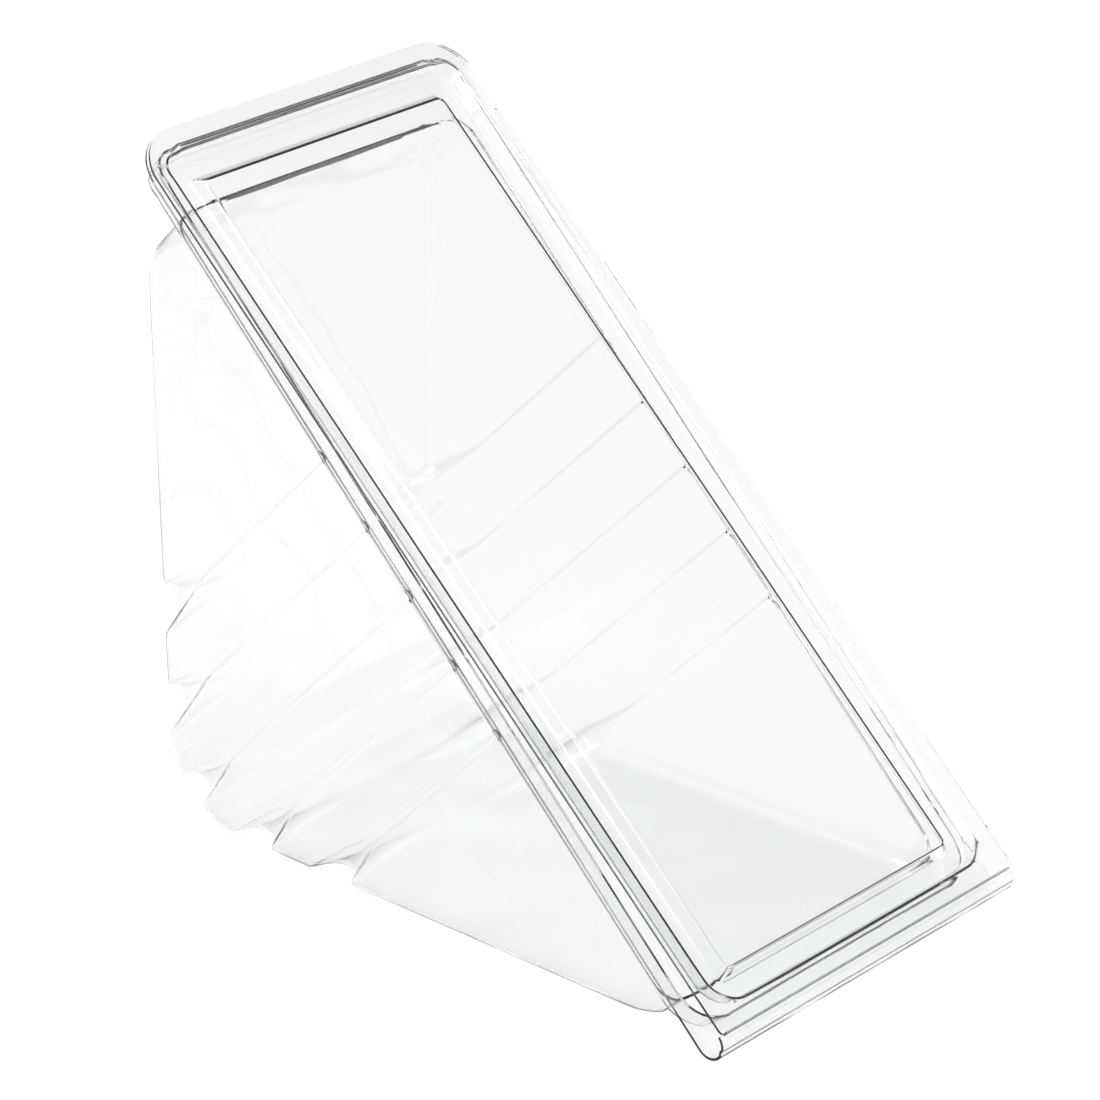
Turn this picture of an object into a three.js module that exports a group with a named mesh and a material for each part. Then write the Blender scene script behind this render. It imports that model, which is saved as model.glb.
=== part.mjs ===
// A hinged sandwich wedge, thermoformed from one clear sheet, standing closed on its bottom wall.
// It is drawn in mould coordinates: u runs across the pack along the hinge, s runs up the flange from the
// hinge, and n is the depth of draw below the flange. Those are turned by 45 degrees into the standing pack.
// Millimetres, +Z up, hinge along X, lid facing -Y and up.

import * as THREE from 'three';

// The sheet
const SHEET = 0.5;
const CLEARANCE = 0.3;

// The tray's flange and the rebate that the lid's plug drops into
const FLANGE_LENGTH = 185;
const FLANGE_WIDTH = 82.4;
const FLANGE_CORNER = 9;
const RIM_SIDE = 2.8;
const RIM_TOP = 3.7;
const RIM_HINGE = 1.3;
const REBATE_DEPTH = 4.6;
const REBATE_DRAFT = 0.4;
const REBATE_CORNER = 7.5;
const SNAP_LOBE = 1.1;
const LOBE_ANGLE = 0.7;
const LOBE_SPREAD = 0.5;

// The tray's well
const LEDGE_SIDE = 0.9;
const LEDGE_TOP = 10.5;
const LEDGE_HINGE = 6;
const WELL_CORNER = 5;
const BOTTOM_LEG = 3.2;
const BACK_LEG = 186.5;
const APEX_RADIUS = 17;
const WALL_DRAFT = 0.02;
const END_DRAFT = 0.1;
const FLOOR_FILLET = 2.8;

// The pinched flutes that stiffen the walls, wide at the corner edge and a fine crease at the flange
const FLUTES = 5;
const FLUTE_PITCH = 14.4;
const FLUTE_REACH = 14;
const FLUTE_WIDE = 3.6;
const FLUTE_FINE = 1;
const FLUTE_DEEP = 2.2;
const FLUTE_SHALLOW = 0.35;
const FLUTE_SHOULDER = 0.6;

// The rolled hinge
const ROLL_RADIUS = 2.6;
const ROLL_SET_BACK = 1.7;
const ROLL_STEPS = 9;
const ROLL_CREASE_AT = 6;
const ROLL_CREASE = 0.45;

// The lid
const LID_SEAT = CLEARANCE;
const PLUG_CLEARANCE = 0.45;
const PLUG_DEPTH = 3.3;
const PLUG_DRAFT = 0.3;
const PLUG_FLOOR = 5;
const PLUG_FLOOR_HINGE = 4;
const PANEL_SLOPE = 1.7;
const PANEL_DROP = 0.9;
const PANEL_CORNER = 1.5;
const LID_HINGE_CORNER = 1;

// Where rows and rings stand round a quarter turn, and on the well's corner
const CORNER_TURNS = [0, 0.3, 0.6, 0.9, 1.2, 1.45];
const LID_TURNS = [0, 0.25, 0.6, 0.97, 1.32, Math.PI / 2];
const WELL_CORNER_PARTS = [0.2, 0.5, 1];

// What follows from them
const flangeHalf = FLANGE_WIDTH / 2;
const rebateHalf = flangeHalf - RIM_SIDE;
const wellHalf = rebateHalf - LEDGE_SIDE;
const rebateStart = RIM_HINGE;
const rebateEnd = FLANGE_LENGTH - RIM_TOP;
const wellStart = rebateStart + LEDGE_HINGE;
const wellEnd = rebateEnd - LEDGE_TOP;
const apexS = (BACK_LEG - BOTTOM_LEG) / 2;
const apexN = (BACK_LEG + BOTTOM_LEG) / 2;
const rollOuter = ROLL_RADIUS + SHEET;
const axisS = -ROLL_SET_BACK;
const axisN = -ROLL_RADIUS;

// The bottom wall's outer face is the standing plane, and the roll stays above it.
const bottomLegOuter = BOTTOM_LEG + SHEET * Math.SQRT2;
const standHeight = bottomLegOuter / Math.SQRT2;
const depthBehindHinge = (BACK_LEG + SHEET * Math.SQRT2) / Math.SQRT2;
const rollFront = (axisS + axisN) / Math.SQRT2 - rollOuter;
const middleY = (depthBehindHinge + rollFront) / 2;

function place(u, s, n) {
  const y = (s + n) / Math.SQRT2 - middleY;
  const z = (s - n) / Math.SQRT2 + standHeight;
  return new THREE.Vector3(u, y, z);
}

// Quads become triangles along the shorter diagonal of the first face, and both faces share the choice.
function triangulate(face, quads) {
  const triangles = [];
  for (const [a, b, c, d] of quads) {
    if (face[a].distanceTo(face[c]) <= face[b].distanceTo(face[d])) {
      triangles.push([a, b, c], [a, c, d]);
    } else {
      triangles.push([a, b, d], [b, c, d]);
    }
  }
  return triangles;
}

// A closed shell between two faces of the sheet that share their quads and are joined round the border.
function closedSheet(upper, under, quads, border) {
  const count = upper.length;
  const index = [];
  for (const [a, b, c] of triangulate(upper, quads)) {
    index.push(a, b, c, count + a, count + c, count + b);
  }
  for (const [a, b] of border) index.push(a, b, count + b, a, count + b, count + a);
  const geometry = new THREE.BufferGeometry().setFromPoints([...upper, ...under]);
  geometry.setIndex(index);
  geometry.computeVertexNormals();
  return geometry;
}

// Half the opening at distance s along it, for a rounded rectangle between two ends.
function roundedHalf(half, start, end, corner, s) {
  const inset = Math.min(Math.max(Math.min(s - start, end - s), 0), corner);
  return half - corner + Math.sqrt(corner * corner - (corner - inset) * (corner - inset));
}

// The snap lobe swells the two far corners of the rebate and of the lid's plug alike.
function lobe(angle) {
  const fromMiddle = Math.abs(angle - LOBE_ANGLE);
  return SNAP_LOBE * (1 - THREE.MathUtils.smoothstep(fromMiddle, LOBE_SPREAD / 3, LOBE_SPREAD));
}

// Every function of the tray takes grow, which is 0 on the sheet's upper face and its thickness on the under
// face, so that the two faces are nested and never cross.
function wellDepth(s, grow) {
  const radius = APEX_RADIUS + grow;
  const fromApex = Math.abs(s - apexS);
  const centre = apexN - APEX_RADIUS * Math.SQRT2;
  if (fromApex < radius / Math.SQRT2) return centre + Math.sqrt(radius * radius - fromApex * fromApex);
  return apexN + grow * Math.SQRT2 - fromApex;
}

// How far a flute is pressed in, and its half width, at a distance from the corner edge.
function fluteFade(distance) {
  return Math.max(0, 1 - distance / FLUTE_REACH);
}

function fluteHalfWidth(distance) {
  return FLUTE_FINE + (FLUTE_WIDE - FLUTE_FINE) * fluteFade(distance);
}

// One row of the tray inside the well: down one side wall, round the fillet and over the floor to the middle.
// Every point keeps its distance from the corner edge, so a flute's rows bend with the flute.
function wellRow({ s: station, across = 0, press = 0, grow }) {
  const half = roundedHalf(wellHalf + grow, wellStart - grow, wellEnd + grow, WELL_CORNER + grow, station);
  const bottomAt = (s) => wellDepth(s, 0) - FLOOR_FILLET;
  const wallHalf = (n) => half - WALL_DRAFT * (n - REBATE_DEPTH);
  const stationAt = (distance) => station + across * fluteHalfWidth(distance);
  const wallReach = bottomAt(station) - REBATE_DEPTH;
  const points = [{ u: half - press * FLUTE_SHALLOW, s: stationAt(wallReach), n: REBATE_DEPTH + grow }];
  for (const distance of [Math.min(FLUTE_REACH, wallReach * 0.8), 0]) {
    const s = stationAt(distance);
    const pressed = press * (FLUTE_SHALLOW + (FLUTE_DEEP - FLUTE_SHALLOW) * fluteFade(distance));
    const lifted = distance > 0 ? 0 : pressed * Math.SQRT2;
    const n = bottomAt(s) - distance - lifted;
    points.push({ u: wallHalf(n) - pressed, s, n });
  }
  const edge = wallHalf(bottomAt(station)) - grow;
  const edgeS = stationAt(0);
  const floorGrow = wellDepth(edgeS, grow) - wellDepth(edgeS, 0);
  for (const turn of [Math.PI / 4, Math.PI / 2]) {
    const u = edge - FLOOR_FILLET * (1 - Math.cos(turn)) + grow * Math.cos(turn);
    const n = bottomAt(edgeS) + (FLOOR_FILLET + floorGrow) * Math.sin(turn);
    points.push({ u: u - press * FLUTE_DEEP, s: edgeS, n: n - press * FLUTE_DEEP * Math.SQRT2 });
  }
  const middle = stationAt(FLUTE_REACH);
  points.push({ u: edge - FLOOR_FILLET - FLUTE_REACH, s: middle, n: wellDepth(middle, grow) });
  points.push({ u: 0, s: middle, n: wellDepth(middle, grow) });
  return points;
}

// The rows of one face of the tray, from the rolled hinge to the top of the flange.
function trayRows(grow) {
  const rows = [];
  const rebateFloor = REBATE_DEPTH + grow;
  const corner = REBATE_CORNER + grow;
  const wellCount = wellRow({ s: apexS, grow }).length;
  const flat = (s, n, foot) => {
    const mouth = roundedHalf(wellHalf + grow, wellStart - grow, wellEnd + grow, WELL_CORNER + grow, s);
    const inner = Math.min(mouth, foot - LEDGE_SIDE);
    return Array.from({ length: wellCount }, (_, k) => ({ u: inner * (1 - k / (wellCount - 1)), s, n }));
  };
  const outer = (s) => {
    const fromTop = Math.max(FLANGE_LENGTH - s, 0);
    if (fromTop >= FLANGE_CORNER) return flangeHalf;
    return flangeHalf - FLANGE_CORNER + Math.sqrt(FLANGE_CORNER ** 2 - (FLANGE_CORNER - fromTop) ** 2);
  };
  const rimHalf = (s) => roundedHalf(rebateHalf + grow, rebateStart - grow, rebateEnd + grow, corner, s);
  const addFlat = (s, rim) => {
    const foot = rim - RIM_SIDE / 2;
    rows.push([{ u: outer(s), s, n: grow }, { u: rim, s, n: grow }, { u: foot, s, n: grow }, ...flat(s, grow, foot)]);
  };
  const addRebate = (s, floorRow) => {
    const rim = rimHalf(s);
    const rimRow = [{ u: outer(s), s, n: grow }, { u: rim, s, n: grow }, { u: rim - REBATE_DRAFT, s, n: rebateFloor }];
    rows.push([...rimRow, ...floorRow]);
  };
  // A row that leaves the rounded corner of the rebate at an angle: 0 is the long side and a quarter turn the end.
  const addCorner = (turn, lobed, along) => {
    const wide = corner + (lobed ? lobe(turn) : 0);
    const middle = rebateHalf - REBATE_CORNER;
    const rim = { u: middle + wide * Math.cos(turn), s: along(wide * Math.sin(turn)), n: grow };
    const under = wide - REBATE_DRAFT;
    const foot = { u: middle + under * Math.cos(turn), s: along(under * Math.sin(turn)), n: rebateFloor };
    rows.push([{ u: outer(rim.s), s: rim.s, n: grow }, rim, foot, ...flat(foot.s, rebateFloor, foot.u)]);
  };
  const frontCorner = (reach) => rebateStart + REBATE_CORNER - reach;
  const topCorner = (reach) => rebateEnd - REBATE_CORNER + reach;
  const endRim = rebateHalf - REBATE_CORNER + corner * Math.cos(CORNER_TURNS.at(-1));

  for (let k = ROLL_STEPS; k >= 1; k -= 1) {
    const turn = (Math.PI * k) / ROLL_STEPS;
    const radius = ROLL_RADIUS + grow - (k === ROLL_CREASE_AT ? ROLL_CREASE : 0);
    const s = axisS - radius * Math.sin(turn);
    const n = axisN + radius * Math.cos(turn);
    const foot = endRim - RIM_SIDE / 2;
    const flatRow = [{ u: flangeHalf }, { u: endRim }, { u: foot }, ...flat(0, 0, foot)];
    rows.push(flatRow.map((point) => ({ u: point.u, s, n })));
  }
  addFlat(axisS, endRim);
  addFlat(rebateStart - grow, endRim);
  for (const turn of [...CORNER_TURNS].reverse().slice(0, -1)) addCorner(turn, false, frontCorner);
  const ledge = (s) => flat(s, rebateFloor, rimHalf(s) - REBATE_DRAFT);
  addRebate(wellStart - grow, ledge(wellStart - grow));
  for (const part of WELL_CORNER_PARTS) {
    const drafted = wellStart - grow + END_DRAFT * (wellDepth(wellStart, 0) - REBATE_DEPTH);
    const s = drafted + (WELL_CORNER + grow) * part * part;
    addRebate(s, wellRow({ s, grow }));
  }
  const across = [-1, -FLUTE_SHOULDER, FLUTE_SHOULDER, 1];
  const firstFlute = apexS - (FLUTE_PITCH * (FLUTES - 1)) / 2;
  const plain = [firstFlute - 1.8 * FLUTE_PITCH, firstFlute - FLUTE_PITCH / 2];
  for (const s of plain) addRebate(s, wellRow({ s, grow }));
  for (let k = 0; k < FLUTES; k += 1) {
    const s = firstFlute + k * FLUTE_PITCH;
    for (const step of across) {
      addRebate(s + step * FLUTE_FINE, wellRow({ s, across: step, press: Math.abs(step) < 1 ? 1 : 0, grow }));
    }
    const between = s + FLUTE_PITCH / 2;
    addRebate(between, wellRow({ s: between, grow }));
  }
  const pastFlutes = firstFlute + (FLUTES + 1) * FLUTE_PITCH;
  addRebate(pastFlutes, wellRow({ s: pastFlutes, grow }));
  for (const part of [...WELL_CORNER_PARTS].reverse()) {
    const drafted = wellEnd + grow - END_DRAFT * (wellDepth(wellEnd, 0) - REBATE_DEPTH);
    const s = drafted - (WELL_CORNER + grow) * part * part;
    addRebate(s, wellRow({ s, grow }));
  }
  addRebate(wellEnd + grow, ledge(wellEnd + grow));
  for (const turn of CORNER_TURNS) addCorner(turn, true, topCorner);
  addFlat(rebateEnd + grow, endRim);
  for (const part of [0.5, 0.85, 1]) addFlat(rebateEnd + RIM_TOP * part, endRim);
  return rows;
}

function trayFace(grow) {
  return trayRows(grow).map((row) => {
    const left = row.map((point) => place(-point.u, point.s, point.n));
    const right = row.slice(0, -1).reverse().map((point) => place(point.u, point.s, point.n));
    return [...left, ...right];
  });
}

function trayGeometry() {
  const upper = trayFace(0);
  const under = trayFace(SHEET);
  const rows = upper.length;
  const columns = upper[0].length;
  const at = (i, j) => i * columns + j;
  const quads = [];
  for (let i = 0; i + 1 < rows; i += 1) {
    for (let j = 0; j + 1 < columns; j += 1) {
      quads.push([at(i, j), at(i, j + 1), at(i + 1, j + 1), at(i + 1, j)]);
    }
  }
  const border = [];
  for (let j = 0; j + 1 < columns; j += 1) border.push([at(0, j + 1), at(0, j)]);
  for (let i = 0; i + 1 < rows; i += 1) border.push([at(i, 0), at(i + 1, 0)]);
  for (let j = 0; j + 1 < columns; j += 1) border.push([at(rows - 1, j), at(rows - 1, j + 1)]);
  for (let i = 0; i + 1 < rows; i += 1) border.push([at(i + 1, columns - 1), at(i, columns - 1)]);
  return closedSheet(upper.flat(), under.flat(), quads, border);
}

// The lid is drawn flat: a runs from the hinge axis to the top, and b is the height above its underside.
const lidReach = rollOuter + CLEARANCE;
const lidLength = FLANGE_LENGTH - axisS;
const lidTilt = Math.asin((ROLL_RADIUS + lidReach - LID_SEAT) / lidLength);

function placeOnLid(u, a, b) {
  const out = lidReach + b;
  const s = axisS + a * Math.cos(lidTilt) - out * Math.sin(lidTilt);
  const n = axisN - out * Math.cos(lidTilt) + a * Math.sin(lidTilt);
  return place(u, s, n);
}

// A closed ring of points round a rounded rectangle, the same number for every ring, from corner to corner.
function lidRing({ side, hinge, top, hingeCorner, topCorner, height, lobed = 0 }) {
  const half = flangeHalf - side;
  const high = lidLength - top;
  const corner = (signU, far) => {
    const radius = far ? topCorner : hingeCorner;
    return LID_TURNS.map((turn) => {
      const grown = radius + (far ? lobed * lobe(turn) : 0);
      const u = signU * (half - radius + grown * Math.cos(turn));
      const along = radius - grown * Math.sin(turn);
      return placeOnLid(u, far ? high - along : hinge + along, height);
    });
  };
  const rightTop = corner(1, true);
  const leftTop = corner(-1, true).reverse();
  const leftHinge = corner(-1, false);
  const rightHinge = corner(1, false).reverse();
  return [...rightTop, ...leftTop, ...leftHinge, ...rightHinge];
}

// The rings of one face of the lid. The upper face lies one thickness above, and inside the plug's wall.
function lidFace(grow) {
  const plugSide = RIM_SIDE + PLUG_CLEARANCE;
  const plugTop = RIM_TOP + PLUG_CLEARANCE;
  const plugHinge = RIM_HINGE + PLUG_CLEARANCE + ROLL_SET_BACK;
  const plugCorner = REBATE_CORNER - PLUG_CLEARANCE;
  const floorLess = PLUG_FLOOR - PLUG_FLOOR_HINGE;
  const ring = ({ inset, corner, height, lobed = 0, hingeLess = 0 }) => lidRing({
    side: plugSide + inset,
    hinge: plugHinge + inset - hingeLess,
    top: plugTop + inset,
    hingeCorner: corner,
    topCorner: corner,
    height: height + grow,
    lobed,
  });
  const outline = { side: 0, hinge: 0, top: 0, hingeCorner: LID_HINGE_CORNER, topCorner: FLANGE_CORNER, height: grow };
  const channelInner = PLUG_DRAFT + PLUG_FLOOR;
  return [
    lidRing(outline),
    ring({ inset: grow, corner: plugCorner - grow, height: 0, lobed: 1 }),
    ring({ inset: PLUG_DRAFT + grow, corner: plugCorner - PLUG_DRAFT - grow, height: -PLUG_DEPTH, lobed: 1 }),
    ring({ inset: channelInner, corner: plugCorner - channelInner, height: -PLUG_DEPTH, hingeLess: floorLess }),
    ring({ inset: channelInner + PANEL_SLOPE, corner: PANEL_CORNER, height: -PANEL_DROP, hingeLess: floorLess }),
  ];
}

function lidGeometry() {
  const upper = lidFace(SHEET);
  const under = lidFace(0);
  const rings = upper.length;
  const count = upper[0].length;
  const quads = [];
  for (let r = 0; r + 1 < rings; r += 1) {
    for (let k = 0; k < count; k += 1) {
      const next = (k + 1) % count;
      quads.push([r * count + k, r * count + next, (r + 1) * count + next, (r + 1) * count + k]);
    }
  }
  const last = (rings - 1) * count;
  for (let k = 0; k < count / 2 - 1; k += 1) {
    quads.push([last + k, last + k + 1, last + count - 2 - k, last + count - 1 - k]);
  }
  const border = Array.from({ length: count }, (_, k) => [(k + 1) % count, k]);
  return closedSheet(upper.flat(), under.flat(), quads, border);
}

function clearPlastic(name) {
  return new THREE.MeshStandardMaterial({
    name,
    color: 0xf4f6f6,
    roughness: 0.08,
    metalness: 0,
    transparent: true,
    opacity: 0.35,
  });
}

function named(name, geometry) {
  const mesh = new THREE.Mesh(geometry, clearPlastic(name));
  mesh.name = name;
  return mesh;
}

const pack = new THREE.Group();
pack.name = 'sandwich_wedge_pack';
pack.add(named('tray', trayGeometry()));
pack.add(named('lid', lidGeometry()));

export default pack;
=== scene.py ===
"""Looks of a clear hinged sandwich wedge: one thermoformed sheet, standing closed on its bottom wall.

The CAD nodes give the sizes and the motion. Here the tray, the lid and the web of the hinge between them
are drawn again as finer sheets of the same form, with rounded folds, and dressed as clear glossy plastic.
"""

import logging
import math
from dataclasses import dataclass, field
from enum import Enum

import bpy
import numpy as np
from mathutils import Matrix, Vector


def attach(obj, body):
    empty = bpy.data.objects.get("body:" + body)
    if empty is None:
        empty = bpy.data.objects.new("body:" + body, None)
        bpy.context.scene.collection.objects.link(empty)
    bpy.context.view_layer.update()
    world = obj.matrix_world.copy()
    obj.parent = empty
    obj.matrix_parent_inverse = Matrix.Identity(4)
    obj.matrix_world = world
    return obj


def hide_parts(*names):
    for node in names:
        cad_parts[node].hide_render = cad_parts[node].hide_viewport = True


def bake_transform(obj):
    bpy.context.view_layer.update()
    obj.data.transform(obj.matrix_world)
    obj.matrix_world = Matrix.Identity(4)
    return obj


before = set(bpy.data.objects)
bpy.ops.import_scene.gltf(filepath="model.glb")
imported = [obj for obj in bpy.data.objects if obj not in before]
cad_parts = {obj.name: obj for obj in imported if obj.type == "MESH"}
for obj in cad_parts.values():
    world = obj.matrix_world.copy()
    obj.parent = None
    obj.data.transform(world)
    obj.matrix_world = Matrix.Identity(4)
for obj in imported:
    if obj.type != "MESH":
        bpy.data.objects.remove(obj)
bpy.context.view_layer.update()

LOG = logging.getLogger("sandwich_wedge")
MM = 0.001
ROOT_TWO = math.sqrt(2)
Row = list[tuple[float, float, float]]
SHARP_ANGLE = math.radians(55)


class Part(Enum):
    """The two bodies of the pack, by the names of their CAD nodes."""

    TRAY = "tray"
    LID = "lid"


@dataclass(frozen=True)
class Sizes:
    """Driving sizes of the formed sheet, in millimetres and radians.

    u runs across the pack along the hinge, s runs up the flange from the hinge, and n is the depth of draw.
    """

    sheet: float = 0.5
    clearance: float = 0.3
    flange_length: float = 185.0
    flange_width: float = 82.4
    flange_corner: float = 9.0
    rim_side: float = 2.8
    rim_top: float = 3.7
    rim_hinge: float = 1.3
    rebate_depth: float = 4.6
    rebate_draft: float = 0.4
    rebate_corner: float = 7.5
    snap_lobe: float = 1.1
    lobe_angle: float = 0.7
    lobe_spread: float = 0.5
    ledge_side: float = 0.9
    ledge_top: float = 10.5
    ledge_hinge: float = 6.0
    well_corner: float = 5.0
    bottom_leg: float = 3.2
    back_leg: float = 186.5
    apex_radius: float = 17.0
    wall_draft: float = 0.02
    end_draft: float = 0.1
    floor_fillet: float = 2.8
    flutes: int = 5
    flute_pitch: float = 14.4
    flute_reach: float = 14.0
    flute_wide: float = 3.6
    flute_fine: float = 1.0
    flute_deep: float = 2.2
    flute_shallow: float = 0.6
    flute_shoulder: float = 0.6
    roll_radius: float = 2.6
    roll_set_back: float = 1.7
    roll_crease: float = 0.45
    plug_clearance: float = 0.45
    plug_depth: float = 3.3
    plug_draft: float = 0.3
    plug_floor: float = 5.0
    plug_floor_hinge: float = 4.0
    panel_slope: float = 1.7
    panel_drop: float = 0.9
    panel_corner: float = 1.5
    lid_hinge_corner: float = 1.0
    fold_radius: float = 0.55

    @property
    def flange_half(self) -> float:
        """Half the width of the flange."""
        return self.flange_width / 2

    @property
    def rebate_half(self) -> float:
        """Half the width of the rebate's mouth."""
        return self.flange_half - self.rim_side

    @property
    def well_half(self) -> float:
        """Half the width of the well's mouth."""
        return self.rebate_half - self.ledge_side

    @property
    def rebate_end(self) -> float:
        """Where the rebate ends below the top of the flange."""
        return self.flange_length - self.rim_top

    @property
    def well_start(self) -> float:
        """Where the well begins above the hinge."""
        return self.rim_hinge + self.ledge_hinge

    @property
    def well_end(self) -> float:
        """Where the well ends below the top of the flange."""
        return self.rebate_end - self.ledge_top

    @property
    def apex_s(self) -> float:
        """Station of the deep corner between the bottom and back walls."""
        return (self.back_leg - self.bottom_leg) / 2

    @property
    def apex_n(self) -> float:
        """Depth of the sharp deep corner, before it is rounded."""
        return (self.back_leg + self.bottom_leg) / 2

    @property
    def roll_outer(self) -> float:
        """Outer radius of the rolled hinge."""
        return self.roll_radius + self.sheet

    @property
    def axis_s(self) -> float:
        """Station of the hinge's axis."""
        return -self.roll_set_back

    @property
    def axis_n(self) -> float:
        """Depth of the hinge's axis, which lies above the flange."""
        return -self.roll_radius

    @property
    def stand_height(self) -> float:
        """Height of the hinge edge of the flange above the standing plane."""
        return self.bottom_leg / ROOT_TWO + self.sheet

    @property
    def middle_y(self) -> float:
        """Distance from the hinge edge back to the middle of the pack.

        Returns:
            The distance, in millimetres.
        """
        behind = self.back_leg / ROOT_TWO + self.sheet
        front = (self.axis_s + self.axis_n) / ROOT_TWO - self.roll_outer
        return (behind + front) / 2

    @property
    def lid_reach(self) -> float:
        """Height of the lid's underside above the hinge's axis."""
        return self.roll_outer + self.clearance

    @property
    def lid_length(self) -> float:
        """Length of the lid from the hinge's axis to its top edge."""
        return self.flange_length - self.axis_s

    @property
    def lid_tilt(self) -> float:
        """Angle at which the closed lid slopes down to the flange."""
        return math.asin((self.roll_radius + self.lid_reach - self.clearance) / self.lid_length)


class Mould:
    """Turns mould coordinates into the standing pack, in metres."""

    def __init__(self, sizes: Sizes) -> None:
        """Keeps the sizes.

        Args:
            sizes: The driving sizes.
        """
        self.sizes = sizes

    def place(self, grid: np.ndarray) -> np.ndarray:
        """Places points given as (u, s, n).

        Args:
            grid: Points in mould coordinates, in millimetres, on the last axis.

        Returns:
            The same points in the pack's frame, in metres.
        """
        u, s, n = grid[..., 0], grid[..., 1], grid[..., 2]
        y = (s + n) / ROOT_TWO - self.sizes.middle_y
        z = (s - n) / ROOT_TWO + self.sizes.stand_height
        return np.stack([u, y, z], axis=-1) * MM

    def on_lid(self, grid: np.ndarray) -> np.ndarray:
        """Places points given as (u, a, b) on the closed lid.

        Args:
            grid: Points across, along from the hinge's axis, and above the lid's underside.

        Returns:
            The points in the pack's frame, in metres.
        """
        z = self.sizes
        u, a, out = grid[..., 0], grid[..., 1], z.lid_reach + grid[..., 2]
        s = z.axis_s + a * math.cos(z.lid_tilt) - out * math.sin(z.lid_tilt)
        n = z.axis_n - out * math.cos(z.lid_tilt) + a * math.sin(z.lid_tilt)
        return self.place(np.stack([u, s, n], axis=-1))


def smoothstep(value: float, low: float, high: float) -> float:
    """Rises smoothly from 0 at low to 1 at high."""
    share = min(max((value - low) / (high - low), 0.0), 1.0)
    return share * share * (3 - 2 * share)


def rounded_half(half: float, start: float, end: float, corner: float, s: float) -> float:
    """Half the width at station s of a rounded rectangle.

    Args:
        half: Half the full width.
        start: Station of one end.
        end: Station of the other end.
        corner: Radius of the corners.
        s: The station asked for.

    Returns:
        The half width there.
    """
    inset = min(max(min(s - start, end - s), 0.0), corner)
    return half - corner + math.sqrt(corner * corner - (corner - inset) ** 2)


def lobe(sizes: Sizes, angle: float) -> float:
    """How far the snap lobe swells a far corner at that angle round it."""
    from_middle = abs(angle - sizes.lobe_angle)
    return sizes.snap_lobe * (1 - smoothstep(from_middle, sizes.lobe_spread / 3, sizes.lobe_spread))


def with_supports(grid: np.ndarray, axis: int, reach: float,
                  soft: frozenset[int] = frozenset()) -> np.ndarray:
    """Adds a line of points close to each side of every line, so that smoothing keeps a fold's radius small.

    Args:
        grid: Rows of columns of points.
        axis: 0 to add rows and 1 to add columns.
        reach: Distance of the added line from the fold.
        soft: Gaps left as they are, where smoothing rounds the folds widely.

    Returns:
        The grid with two lines added in each other gap.
    """
    lines = np.moveaxis(grid, axis, 0)
    filled = []
    for index in range(len(lines) - 1):
        line = lines[index]
        step = lines[index + 1] - line
        filled.append(line)
        if index in soft:
            continue
        length = np.maximum(np.linalg.norm(step, axis=-1, keepdims=True), 1e-9)
        share = np.minimum(reach / length, 1 / 3)
        filled += [line + step * share, line + step * (1 - share)]
    filled.append(lines[-1])
    return np.moveaxis(np.array(filled), 0, axis)


def formed_sheet(name: str, points: np.ndarray, faces: list[tuple[int, ...]],
                 thickness: float) -> bpy.types.Object:
    """Makes a sheet of even thickness from one face of it, with rounded folds and a cut edge.

    Args:
        name: Name of the piece.
        points: Points of the upper face, in metres.
        faces: Its faces, wound to point up.
        thickness: Thickness of the sheet in metres.

    Returns:
        The piece, with its modifiers applied. The cut edge has the second material.
    """
    mesh = bpy.data.meshes.new(name)
    mesh.from_pydata(points.reshape(-1, 3).tolist(), [], faces)
    mesh.validate()
    draft = bpy.data.objects.new(name + "_draft", mesh)
    bpy.context.scene.collection.objects.link(draft)
    smooth = draft.modifiers.new("rounded_folds", "SUBSURF")
    smooth.levels = smooth.render_levels = 1
    solid = draft.modifiers.new("sheet", "SOLIDIFY")
    solid.thickness = thickness
    solid.offset = -1
    solid.use_even_offset = False
    solid.material_offset_rim = 1
    mesh.materials.append(None)
    mesh.materials.append(None)
    graph = bpy.context.evaluated_depsgraph_get()
    done = bpy.data.meshes.new_from_object(draft.evaluated_get(graph))
    bpy.data.objects.remove(draft)
    done.name = name
    done.shade_smooth()
    done.set_sharp_from_angle(angle=SHARP_ANGLE)
    piece = bpy.data.objects.new(name, done)
    bpy.context.scene.collection.objects.link(piece)
    return piece


def grid_faces(rows: int, columns: int, closed: bool = False) -> list[tuple[int, ...]]:
    """Quads of a grid of points.

    Args:
        rows: Number of rows.
        columns: Number of columns.
        closed: True where each row is a closed ring.

    Returns:
        The quads, by the points' numbers.
    """
    span = columns if closed else columns - 1
    quads = []
    for i in range(rows - 1):
        for j in range(span):
            k = (j + 1) % columns
            quads.append((i * columns + j, i * columns + k, (i + 1) * columns + k, (i + 1) * columns + j))
    return quads


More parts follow.
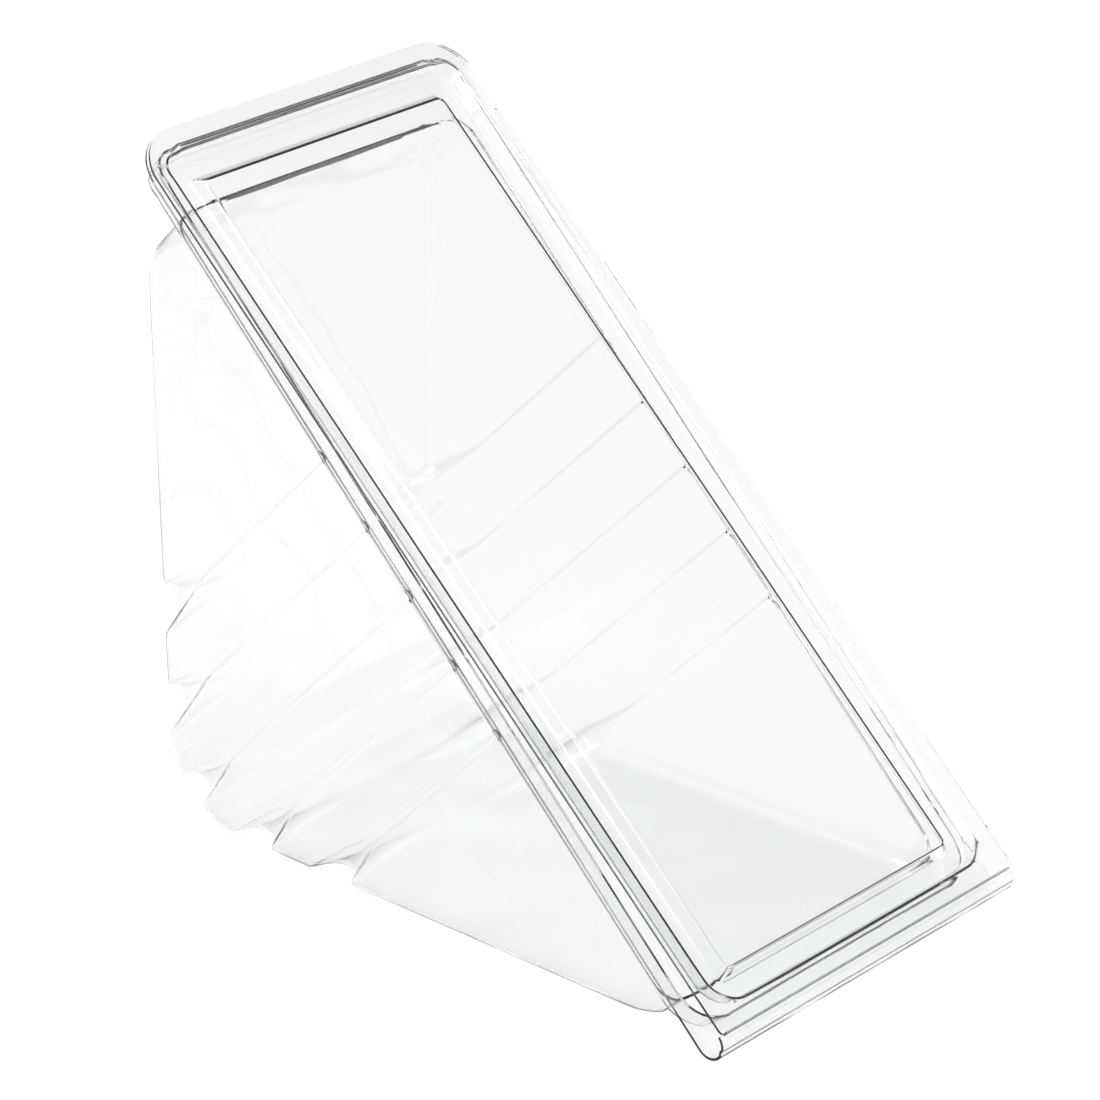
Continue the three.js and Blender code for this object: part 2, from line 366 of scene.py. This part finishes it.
@dataclass
class Tray:
    """The flange, the rebate, the fluted well and the rolled hinge edge, as one sheet."""

    sizes: Sizes
    mould: Mould
    roll_steps: int = 14
    roll_crease_at: int = 9
    corner_turns: tuple[float, ...] = (0.0, 0.2, 0.4, 0.6, 0.8, 1.0, 1.2, 1.45)
    well_corner_parts: tuple[float, ...] = (0.2, 0.4, 0.6, 0.8, 1.0)
    fillet_steps: int = 3
    pitches_before: tuple[float, ...] = (2.6, 1.5, 0.5)
    pitches_after: tuple[float, ...] = (1.3, 2.2)
    edge_shares: tuple[float, ...] = (0.3, 0.6, 0.8, 0.93, 1.0)
    most_of_wall: float = 0.8
    least_front_sine: float = 0.25
    well_count: int = field(default=0)
    fluted: frozenset[int] = field(default=frozenset())
    walls_and_floor: frozenset[int] = field(default=frozenset(range(4, 20)))

    def well_depth(self, s: float) -> float:
        """Depth of the well's floor, straight on both walls and round at the deep corner.

        Args:
            s: Station of the place.

        Returns:
            The depth below the flange.
        """
        z = self.sizes
        from_apex = abs(s - z.apex_s)
        if from_apex < z.apex_radius / ROOT_TWO:
            centre = z.apex_n - z.apex_radius * ROOT_TWO
            return centre + math.sqrt(z.apex_radius ** 2 - from_apex ** 2)
        return z.apex_n - from_apex

    def flute_fade(self, distance: float) -> float:
        """How much of a flute's press is left at a distance from the corner edge."""
        return max(0.0, 1 - distance / self.sizes.flute_reach)

    def flute_half(self, distance: float) -> float:
        """Half the width of a flute at a distance from the corner edge."""
        z = self.sizes
        return z.flute_fine + (z.flute_wide - z.flute_fine) * self.flute_fade(distance)

    def wall_end(self, s: float) -> float:
        """Depth at which a side wall meets its fillet at station s."""
        return self.well_depth(s) - self.sizes.floor_fillet

    def well_row(self, station: float, across: float = 0.0, press: float = 0.0) -> Row:
        """One row down a side wall, round the fillet and over the floor to the middle.

        Args:
            station: Station of the row at the flange.
            across: Place across a flute, from -1 to 1.
            press: 1 on a flute's floor and 0 off it.

        Returns:
            Points (u, s, n) from the mouth to the middle.
        """
        z = self.sizes
        half = rounded_half(z.well_half, z.well_start, z.well_end, z.well_corner, station)
        reach = self.wall_end(station) - z.rebate_depth
        mouth = station + across * self.flute_half(reach)
        points = [(half - press * z.flute_shallow, mouth, z.rebate_depth)]
        for share in (1.0, 0.5, 0.0):
            distance = share * min(z.flute_reach, reach * self.most_of_wall)
            s = station + across * self.flute_half(distance)
            fade = self.flute_fade(distance)
            pressed = press * (z.flute_shallow + (z.flute_deep - z.flute_shallow) * fade)
            lifted = 0.0 if distance > 0 else pressed * ROOT_TWO
            n = self.wall_end(s) - distance - lifted
            points.append((half - z.wall_draft * (n - z.rebate_depth) - pressed, s, n))
        edge = half - z.wall_draft * (self.wall_end(station) - z.rebate_depth)
        edge_s = station + across * self.flute_half(0)
        for step in range(1, self.fillet_steps + 1):
            turn = math.pi / 2 * step / self.fillet_steps
            u = edge - z.floor_fillet * (1 - math.cos(turn)) - press * z.flute_deep
            n = self.wall_end(edge_s) + z.floor_fillet * math.sin(turn) - press * z.flute_deep * ROOT_TWO
            points.append((u, edge_s, n))
        for share in (0.5, 1.0):
            distance = share * z.flute_reach
            s = station + across * self.flute_half(distance)
            lifted = press * z.flute_deep * self.flute_fade(distance) * ROOT_TWO
            points.append((edge - z.floor_fillet - distance, s, self.well_depth(s) - lifted))
        points.append((0.0, s, self.well_depth(s)))
        return points

    def outer_half(self, s: float) -> float:
        """Half the flange's width at station s, with its rounded top corners."""
        z = self.sizes
        return rounded_half(z.flange_half, -z.flange_length, z.flange_length, z.flange_corner, s)

    def flat_row(self, s: float, n: float, foot: float) -> Row:
        """A level row from beside the rim to the middle.

        Args:
            s: Station of the row.
            n: Its depth.
            foot: Half width at the foot of the rebate's wall.

        Returns:
            As many points as a row of the well has.
        """
        z = self.sizes
        mouth = rounded_half(z.well_half, z.well_start, z.well_end, z.well_corner, s)
        inner = min(mouth, foot - z.ledge_side)
        return [(inner * (1 - k / (self.well_count - 1)), s, n) for k in range(self.well_count)]

    def flange_row(self, s: float, rim: float) -> Row:
        """A row of the flange across its whole width."""
        foot = rim - self.sizes.rim_side / 2
        return [(self.outer_half(s), s, 0.0), (rim, s, 0.0), (foot, s, 0.0), *self.flat_row(s, 0.0, foot)]

    def rebate_row(self, s: float, floor_row: Row) -> Row:
        """A row over the rim and down the rebate's long wall.

        Args:
            s: Station of the row.
            floor_row: The points that follow, on the rebate's floor or down the well.

        Returns:
            The whole row's points.
        """
        z = self.sizes
        rim = rounded_half(z.rebate_half, z.rim_hinge, z.rebate_end, z.rebate_corner, s)
        foot = (rim - z.rebate_draft, s, z.rebate_depth)
        return [(self.outer_half(s), s, 0.0), (rim, s, 0.0), foot, *floor_row]

    def corner_station(self, radius: float, turn: float, top: bool) -> float:
        """Station of a point round a corner of the rebate.

        Args:
            radius: The corner's radius there.
            turn: Angle round the corner from the long side.
            top: True for the far corners.

        Returns:
            The station.
        """
        z = self.sizes
        reach = radius * math.sin(turn)
        return z.rebate_end - z.rebate_corner + reach if top else z.rim_hinge + z.rebate_corner - reach

    def corner_row(self, turn: float, top: bool) -> Row:
        """A row that leaves a rounded corner of the rebate at an angle round it.

        Args:
            turn: 0 at the long side and a quarter turn at the end.
            top: True for the far corners, which carry the snap lobes.

        Returns:
            The row's points.
        """
        z = self.sizes
        wide = z.rebate_corner + (lobe(z, turn) if top else 0.0)
        middle = z.rebate_half - z.rebate_corner
        rim = (middle + wide * math.cos(turn), self.corner_station(wide, turn, top), 0.0)
        under = wide - z.rebate_draft
        foot = (middle + under * math.cos(turn), self.corner_station(under, turn, top), z.rebate_depth)
        flat = self.flat_row(foot[1], z.rebate_depth, foot[0])
        return [(self.outer_half(rim[1]), rim[1], 0.0), rim, foot, *flat]

    def roll_rows(self, rim: float) -> list[Row]:
        """Rows round the rolled hinge edge, from its free edge to the flange.

        Args:
            rim: Half the width at the end of the rebate, which the columns keep.

        Returns:
            The rows.
        """
        z = self.sizes
        rows = []
        for k in range(self.roll_steps, 0, -1):
            turn = math.pi * k / self.roll_steps
            radius = z.roll_radius - (z.roll_crease if k == self.roll_crease_at else 0.0)
            s = z.axis_s - radius * math.sin(turn)
            n = z.axis_n + radius * math.cos(turn)
            rows.append([(u, s, n) for u, _, _ in self.flange_row(0.0, rim)])
        return rows

    def plain_row(self, s: float) -> Row:
        """A row over the rim, down the rebate and down a plain stretch of the well."""
        return self.rebate_row(s, self.well_row(s))

    def fluted_rows(self) -> list[Row]:
        """Rows over the flutes and the plain walls beside them.

        Returns:
            The rows, from the hinge end up.
        """
        z = self.sizes
        first = z.apex_s - z.flute_pitch * (z.flutes - 1) / 2
        rows = [self.plain_row(first - share * z.flute_pitch) for share in self.pitches_before]
        for k in range(z.flutes):
            s = first + k * z.flute_pitch
            for step in (-1.0, -z.flute_shoulder, z.flute_shoulder, 1.0):
                row = self.well_row(s, step, 1.0 if abs(step) < 1 else 0.0)
                rows.append(self.rebate_row(s + step * z.flute_fine, row))
            rows.append(self.plain_row(s + z.flute_pitch / 2))
        last = first + (z.flutes - 1) * z.flute_pitch
        rows += [self.plain_row(last + share * z.flute_pitch) for share in self.pitches_after]
        return rows

    def end_rows(self, top: bool) -> list[Row]:
        """Rows round the well's corners at one end, from the ledge to the full width.

        Args:
            top: True for the end away from the hinge.

        Returns:
            The rows, from the ledge inward.
        """
        z = self.sizes
        edge = z.well_end if top else z.well_start
        drafted = z.end_draft * (self.well_depth(edge) - z.rebate_depth)
        rim = rounded_half(z.rebate_half, z.rim_hinge, z.rebate_end, z.rebate_corner, edge)
        rows = [self.rebate_row(edge, self.flat_row(edge, z.rebate_depth, rim - z.rebate_draft))]
        for part in self.well_corner_parts:
            inward = drafted + z.well_corner * part * part
            rows.append(self.plain_row(edge - inward if top else edge + inward))
        return rows

    def rows(self) -> np.ndarray:
        """All rows of the tray's upper face, left half and right half.

        Returns:
            A grid of points (u, s, n).
        """
        z = self.sizes
        self.well_count = len(self.well_row(z.apex_s))
        rim = z.rebate_half - z.rebate_corner + z.rebate_corner * math.cos(self.corner_turns[-1])
        rows = self.roll_rows(rim)
        rows += [self.flange_row(z.axis_s, rim), self.flange_row(z.rim_hinge, rim)]
        front = [turn for turn in reversed(self.corner_turns) if math.sin(turn) > self.least_front_sine]
        rows += [self.corner_row(turn, top=False) for turn in front]
        rows += self.end_rows(top=False)
        first = len(rows) + len(self.pitches_before)
        self.fluted = frozenset(first + 5 * k + j for k in range(z.flutes) for j in range(3))
        self.fluted |= frozenset(range(1, self.roll_steps - 1))
        rows += self.fluted_rows()
        rows += reversed(self.end_rows(top=True))
        rows += [self.corner_row(turn, top=True) for turn in self.corner_turns]
        rows += [self.flange_row(z.rebate_end, rim)]
        rows += [self.flange_row(z.rebate_end + z.rim_top * share, rim) for share in self.edge_shares]
        half = np.array(rows)
        left = half * np.array([-1.0, 1.0, 1.0])
        return np.concatenate([left, half[:, -2::-1]], axis=1)

    def build(self) -> bpy.types.Object:
        """Builds the tray's sheet.

        Returns:
            The finished piece.
        """
        z = self.sizes
        grid = self.mould.place(self.rows())
        grid = with_supports(grid, 0, z.fold_radius * MM, soft=self.fluted)
        grid = with_supports(grid, 1, z.fold_radius * MM, soft=self.walls_and_floor)
        faces = grid_faces(grid.shape[0], grid.shape[1])
        return formed_sheet("tray_sheet", grid, faces, z.sheet * MM)


@dataclass
class Lid:
    """The lid's flange, its plug channel with the snap lobes, and the window panel, as one sheet."""

    sizes: Sizes
    mould: Mould
    corner_steps: int = 9
    panel_margin: float = 2.0

    def corner(self, half: float, radius: float, edge: float, inward: float,
               lobed: bool) -> list[tuple[float, float]]:
        """Points (u, a) round one corner on the positive side, from the long side to the end.

        Args:
            half: Half the width of the ring.
            radius: Radius of the corner.
            edge: Place of the ring's end.
            inward: 1 where the ring lies above that place and -1 where it lies below.
            lobed: True where the corner carries a snap lobe.

        Returns:
            The corner's points.
        """
        points = []
        for k in range(self.corner_steps + 1):
            turn = math.pi / 2 * k / self.corner_steps
            grown = radius + (lobe(self.sizes, turn) if lobed else 0.0)
            along = radius - grown * math.sin(turn)
            points.append((half - radius + grown * math.cos(turn), edge + inward * along))
        return points

    def ring(self, side: float, hinge: float, top: float, radii: tuple[float, float], height: float,
             lobed: bool = False) -> Row:
        """A closed ring round a rounded rectangle.

        Args:
            side: Inset from the flange's long edges.
            hinge: Inset from the hinge's axis.
            top: Inset from the top edge.
            radii: Corner radii at the hinge end and at the top.
            height: Height above the lid's underside.
            lobed: True where the far corners carry the snap lobes.

        Returns:
            Points (u, a, b), the same number for every ring.
        """
        z = self.sizes
        half = z.flange_half - side
        far = self.corner(half, radii[1], z.lid_length - top, -1, lobed)
        near = self.corner(half, radii[0], hinge, 1, False)
        ring = [(u, a, height) for u, a in far]
        ring += [(-u, a, height) for u, a in reversed(far)]
        ring += [(-u, a, height) for u, a in near]
        ring += [(u, a, height) for u, a in reversed(near)]
        return ring

    def plug_ring(self, by: float, radius: float, height: float, lobed: bool = False,
                  hinge_less: float = 0.0) -> Row:
        """A ring inside the plug's edge.

        Args:
            by: Inset from the plug's edge.
            radius: Radius of the corners.
            height: Height of the sheet's underside above that of the lid's flange.
            lobed: True where the far corners carry the snap lobes.
            hinge_less: How much smaller the inset is at the hinge.

        Returns:
            The ring's points, on the upper face.
        """
        z = self.sizes
        side = z.rim_side + z.plug_clearance + by
        hinge = z.rim_hinge + z.plug_clearance + z.roll_set_back + by - hinge_less
        top = z.rim_top + z.plug_clearance + by
        return self.ring(side, hinge, top, (radius, radius), height + z.sheet, lobed)

    def rings(self) -> list[Row]:
        """The rings of the lid's upper face, from the cut edge to the panel.

        Returns:
            The rings, each with as many points.
        """
        z = self.sizes
        plug_corner = z.rebate_corner - z.plug_clearance
        less = z.plug_floor - z.plug_floor_hinge
        foot = z.plug_draft + z.sheet
        inner = z.plug_draft + z.plug_floor
        panel = inner + z.panel_slope
        return [
            self.ring(0, 0, 0, (z.lid_hinge_corner, z.flange_corner), z.sheet),
            self.plug_ring(z.sheet, plug_corner - z.sheet, 0, lobed=True),
            self.plug_ring(foot, plug_corner - foot, -z.plug_depth, lobed=True),
            self.plug_ring(inner, plug_corner - inner, -z.plug_depth, hinge_less=less),
            self.plug_ring(panel, z.panel_corner, -z.panel_drop, hinge_less=less),
            self.plug_ring(panel + self.panel_margin, z.panel_corner / 2, -z.panel_drop, hinge_less=less),
        ]

    def build(self) -> bpy.types.Object:
        """Builds the lid's sheet.

        Returns:
            The finished piece.
        """
        z = self.sizes
        grid = self.mould.on_lid(np.array(self.rings()))
        grid = with_supports(grid, 0, z.fold_radius * MM)
        rings, count = grid.shape[:2]
        faces = grid_faces(rings, count, closed=True)
        last = (rings - 1) * count
        for k in range(count // 2 - 1):
            faces.append((last + k, last + k + 1, last + count - 2 - k, last + count - 1 - k))
        return formed_sheet("lid_sheet", grid, faces, z.sheet * MM)


@dataclass
class HingeWeb:
    """The narrow strip of the sheet that joins the rolled edge to the lid; on the real pack it bends as the
    lid opens.
    """

    sizes: Sizes
    mould: Mould
    rows_across: int = 12
    columns: int = 24
    bulge: float = 0.35
    thinned: float = 0.6

    def ends(self) -> tuple[np.ndarray, np.ndarray]:
        """Finds the middles of the strip's two long edges.

        Returns:
            The one on the roll and the one on the lid, in mould coordinates.
        """
        z = self.sizes
        on_roll = np.array([0.0, z.axis_s, z.axis_n - z.roll_radius - z.sheet / 2])
        on_lid = np.array([0.0, z.axis_s, z.axis_n - z.lid_reach - z.sheet / 2])
        return on_roll, on_lid

    def build(self) -> bpy.types.Object:
        """Builds the strip.

        Returns:
            The finished piece.
        """
        z = self.sizes
        on_roll, on_lid = self.ends()
        half = z.flange_half - z.lid_hinge_corner
        across = np.linspace(-half, half, self.columns)
        rows = []
        for k in range(self.rows_across):
            share = k / (self.rows_across - 1)
            middle = on_roll + (on_lid - on_roll) * share
            bulge = self.bulge * math.sin(math.pi * share)
            rows.append([(u, middle[1] - bulge, middle[2]) for u in across])
        grid = self.mould.place(np.array(rows))
        faces = grid_faces(self.rows_across, self.columns)
        piece = formed_sheet("hinge_web", grid, faces, self.thinned * z.sheet * MM)
        start, end = (Vector(self.mould.place(point)) for point in (on_roll, on_lid))
        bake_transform(piece)
        return piece


def ripple_group() -> bpy.types.NodeTree:
    """Builds the shared effect of a formed sheet: slow waves and fine haze.

    Returns:
        A group with the outputs Normal and Roughness.
    """
    group = bpy.data.node_groups.new("formed_ripple", "ShaderNodeTree")
    defaults = (("Wave Scale", 90.0), ("Wave Depth", 0.05), ("Haze Scale", 600.0), ("Smooth", 0.02),
                ("Hazy", 0.07))
    for name, default in defaults:
        socket = group.interface.new_socket(name, in_out="INPUT", socket_type="NodeSocketFloat")
        socket.default_value = default
    group.interface.new_socket("Normal", in_out="OUTPUT", socket_type="NodeSocketVector")
    group.interface.new_socket("Roughness", in_out="OUTPUT", socket_type="NodeSocketFloat")
    nodes, links = group.nodes, group.links
    given = nodes.new("NodeGroupInput")
    result = nodes.new("NodeGroupOutput")
    place = nodes.new("ShaderNodeTexCoord")
    wave = nodes.new("ShaderNodeTexNoise")
    wave.inputs["Detail"].default_value = 0.0
    haze = nodes.new("ShaderNodeTexNoise")
    haze.inputs["Detail"].default_value = 0.0
    bump = nodes.new("ShaderNodeBump")
    bump.inputs["Distance"].default_value = 0.002
    spread = nodes.new("ShaderNodeMapRange")
    spread.inputs["From Min"].default_value = 0.55
    spread.inputs["From Max"].default_value = 0.8
    links.new(place.outputs["Object"], wave.inputs["Vector"])
    links.new(place.outputs["Object"], haze.inputs["Vector"])
    links.new(given.outputs["Wave Scale"], wave.inputs["Scale"])
    links.new(given.outputs["Haze Scale"], haze.inputs["Scale"])
    links.new(given.outputs["Wave Depth"], bump.inputs["Strength"])
    links.new(wave.outputs["Fac"], bump.inputs["Height"])
    links.new(haze.outputs["Fac"], spread.inputs["Value"])
    links.new(given.outputs["Smooth"], spread.inputs["To Min"])
    links.new(given.outputs["Hazy"], spread.inputs["To Max"])
    links.new(bump.outputs["Normal"], result.inputs["Normal"])
    links.new(spread.outputs["Result"], result.inputs["Roughness"])
    return group


@dataclass(frozen=True)
class ClearSheet:
    """Finish of the clear formed plastic."""

    name: str
    tint: tuple[float, float, float]
    wave_scale: float
    wave_depth: float
    smooth: float
    hazy: float
    ior: float = 1.5

    def material(self, ripple: bpy.types.NodeTree) -> bpy.types.Material:
        """Makes the material.

        Args:
            ripple: The shared group of waves and haze.

        Returns:
            A glossy see-through material that lets the lamps through.
        """
        made = bpy.data.materials.new(self.name)
        made.use_nodes = True
        nodes, links = made.node_tree.nodes, made.node_tree.links
        plastic = nodes["Principled BSDF"]
        plastic.inputs["Base Color"].default_value = (*self.tint, 1)
        plastic.inputs["Transmission Weight"].default_value = 1.0
        plastic.inputs["IOR"].default_value = self.ior
        effect = nodes.new("ShaderNodeGroup")
        effect.node_tree = ripple
        effect.inputs["Wave Scale"].default_value = self.wave_scale
        effect.inputs["Wave Depth"].default_value = self.wave_depth
        effect.inputs["Smooth"].default_value = self.smooth
        effect.inputs["Hazy"].default_value = self.hazy
        links.new(effect.outputs["Normal"], plastic.inputs["Normal"])
        links.new(effect.outputs["Roughness"], plastic.inputs["Roughness"])
        path = nodes.new("ShaderNodeLightPath")
        clear = nodes.new("ShaderNodeBsdfTransparent")
        clear.inputs["Color"].default_value = (*self.tint, 1)
        choose = nodes.new("ShaderNodeMixShader")
        links.new(path.outputs["Is Shadow Ray"], choose.inputs["Fac"])
        links.new(plastic.outputs["BSDF"], choose.inputs[1])
        links.new(clear.outputs["BSDF"], choose.inputs[2])
        links.new(choose.outputs["Shader"], nodes["Material Output"].inputs["Surface"])
        return made


@dataclass
class Studio:
    """The pale floor, the lamps, the surroundings and the camera."""

    camera_place: tuple[float, float, float] = (-0.5862, -0.5093, 0.4037)
    camera_look: tuple[float, float, float] = (0.6874, 0.6041, -0.4031)
    lens: float = 155.84
    floor_half: float = 4.0
    low_light: float = 0.15
    high_light: float = 0.75
    glow_straight: float = 0.22
    glow_through: float = 0.16
    lamps: tuple[tuple[str, tuple[float, float, float], float, float], ...] = (
        ("lamp_front_left", (-0.9, -0.3, 0.8), 0.5, 3.0),
        ("lamp_back", (0.1, 1.0, 0.9), 0.5, 3.0),
        ("lamp_top", (0.0, 0.0, 1.3), 0.8, 3.0),
    )

    def camera(self) -> None:
        """Places the camera at the photograph's viewing angle."""
        data = bpy.data.cameras.new("camera")
        data.lens = self.lens
        camera = bpy.data.objects.new("camera", data)
        camera.location = self.camera_place
        camera.rotation_euler = Vector(self.camera_look).to_track_quat("-Z", "Y").to_euler()
        bpy.context.scene.collection.objects.link(camera)
        bpy.context.scene.camera = camera

    def floor_glow(self, nodes: bpy.types.Nodes, links: bpy.types.NodeLinks) -> bpy.types.NodeSocket:
        """The glow that brings the floor to white for the camera, and a little less through the sheet.

        Args:
            nodes: Nodes of the tree that uses it.
            links: Links of that tree.

        Returns:
            The value's socket.
        """
        path = nodes.new("ShaderNodeLightPath")
        either = nodes.new("ShaderNodeMath")
        either.operation = "MAXIMUM"
        links.new(path.outputs["Is Transmission Ray"], either.inputs[0])
        links.new(path.outputs["Is Glossy Ray"], either.inputs[1])
        through = nodes.new("ShaderNodeMath")
        through.operation = "MULTIPLY"
        through.inputs[1].default_value = self.glow_through
        links.new(either.outputs["Value"], through.inputs[0])
        glow = nodes.new("ShaderNodeMath")
        glow.operation = "MULTIPLY_ADD"
        glow.inputs[1].default_value = self.glow_straight
        links.new(path.outputs["Is Camera Ray"], glow.inputs[0])
        links.new(through.outputs["Value"], glow.inputs[2])
        return glow.outputs["Value"]

    def surroundings(self) -> None:
        """White where the camera looks straight at it, and else dim walls under a bright ceiling."""
        world = bpy.data.worlds.new("studio")
        bpy.context.scene.world = world
        world.use_nodes = True
        nodes, links = world.node_tree.nodes, world.node_tree.links
        background = nodes["Background"]
        background.inputs["Color"].default_value = (1, 1, 1, 1)
        direction = nodes.new("ShaderNodeTexCoord")
        split = nodes.new("ShaderNodeSeparateXYZ")
        links.new(direction.outputs["Generated"], split.inputs["Vector"])
        height = nodes.new("ShaderNodeMapRange")
        height.inputs["From Min"].default_value = 0.1
        height.inputs["From Max"].default_value = 0.9
        height.inputs["To Min"].default_value = self.low_light
        height.inputs["To Max"].default_value = self.high_light
        links.new(split.outputs["Z"], height.inputs["Value"])
        path = nodes.new("ShaderNodeLightPath")
        level = nodes.new("ShaderNodeMath")
        level.operation = "MAXIMUM"
        links.new(path.outputs["Is Camera Ray"], level.inputs[0])
        links.new(height.outputs["Result"], level.inputs[1])
        links.new(level.outputs["Value"], background.inputs["Strength"])

    def floor(self) -> None:
        """A plain white floor that keeps the object's shadow."""
        mesh = bpy.data.meshes.new("floor")
        reach = self.floor_half
        corners = [(-reach, -reach, 0), (reach, -reach, 0), (reach, reach, 0), (-reach, reach, 0)]
        mesh.from_pydata(corners, [], [(0, 1, 2, 3)])
        floor = bpy.data.objects.new("floor", mesh)
        floor.location.z = -0.0004
        bpy.context.scene.collection.objects.link(floor)
        made = bpy.data.materials.new("floor_white")
        made.use_nodes = True
        nodes, links = made.node_tree.nodes, made.node_tree.links
        paint = nodes["Principled BSDF"]
        paint.inputs["Base Color"].default_value = (0.9, 0.9, 0.9, 1)
        paint.inputs["Roughness"].default_value = 0.9
        paint.inputs["Specular IOR Level"].default_value = 0.0
        paint.inputs["Emission Color"].default_value = (1, 1, 1, 1)
        links.new(self.floor_glow(nodes, links), paint.inputs["Emission Strength"])
        mesh.materials.append(made)

    def light(self) -> None:
        """Hangs the soft lamps, aimed at the pack."""
        for name, place, size, power in self.lamps:
            data = bpy.data.lights.new(name, "AREA")
            data.size = size
            data.energy = power
            lamp = bpy.data.objects.new(name, data)
            lamp.location = place
            lamp.rotation_euler = (Vector((0, 0, 0.06)) - Vector(place)).to_track_quat("-Z", "Y").to_euler()
            bpy.context.scene.collection.objects.link(lamp)

    def build(self) -> None:
        """Sets up the whole studio."""
        bpy.context.scene.view_settings.view_transform = "Standard"
        self.camera()
        self.surroundings()
        self.floor()
        self.light()


def dress(piece: bpy.types.Object, sheet: bpy.types.Material, edge: bpy.types.Material) -> None:
    """Gives a sheet its finish, and its cut edge a grey tint of painted shade.

    Args:
        piece: The sheet.
        sheet: Material of its two faces.
        edge: Material of its cut edge, a grey tint of painted shade.
    """
    piece.data.materials.clear()
    piece.data.materials.append(sheet)
    piece.data.materials.append(edge)
    LOG.info("%s: %d faces", piece.name, len(piece.data.polygons))


def main() -> None:
    """Builds the studio and the three sheets, and reports each piece."""
    logging.basicConfig(level=logging.INFO, format="%(message)s")
    Studio().build()
    sizes = Sizes()
    mould = Mould(sizes)
    ripple = ripple_group()
    tint = (0.985, 0.99, 0.99)
    tray_finish = ClearSheet("tray_clear", tint, wave_scale=60.0, wave_depth=0.2, smooth=0.0, hazy=0.08)
    lid_finish = ClearSheet("lid_clear", tint, wave_scale=25.0, wave_depth=0.04, smooth=0.0, hazy=0.05)
    # The cut edge's grey tint is painted shade for the dark lines that light leaves along the sheet's edges;
    # its haze is the edge's real roughness.
    edge_shade_paint = ClearSheet("cut_edge_painted_shade", (0.6, 0.62, 0.62), wave_scale=400.0, wave_depth=0.2, smooth=0.15,
                             hazy=0.35)
    finishes = (tray_finish, lid_finish, edge_shade_paint)
    tray_clear, lid_clear, cut_edge_painted_shade = (finish.material(ripple) for finish in finishes)
    tray = Tray(sizes, mould).build()
    dress(tray, tray_clear, cut_edge_painted_shade)
    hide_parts(Part.TRAY.value)
    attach(tray, Part.TRAY.value)
    lid = Lid(sizes, mould).build()
    dress(lid, lid_clear, cut_edge_painted_shade)
    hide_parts(Part.LID.value)
    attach(lid, Part.LID.value)
    web = HingeWeb(sizes, mould).build()
    dress(web, tray_clear, cut_edge_painted_shade)


if __name__ == "__main__":
    main()
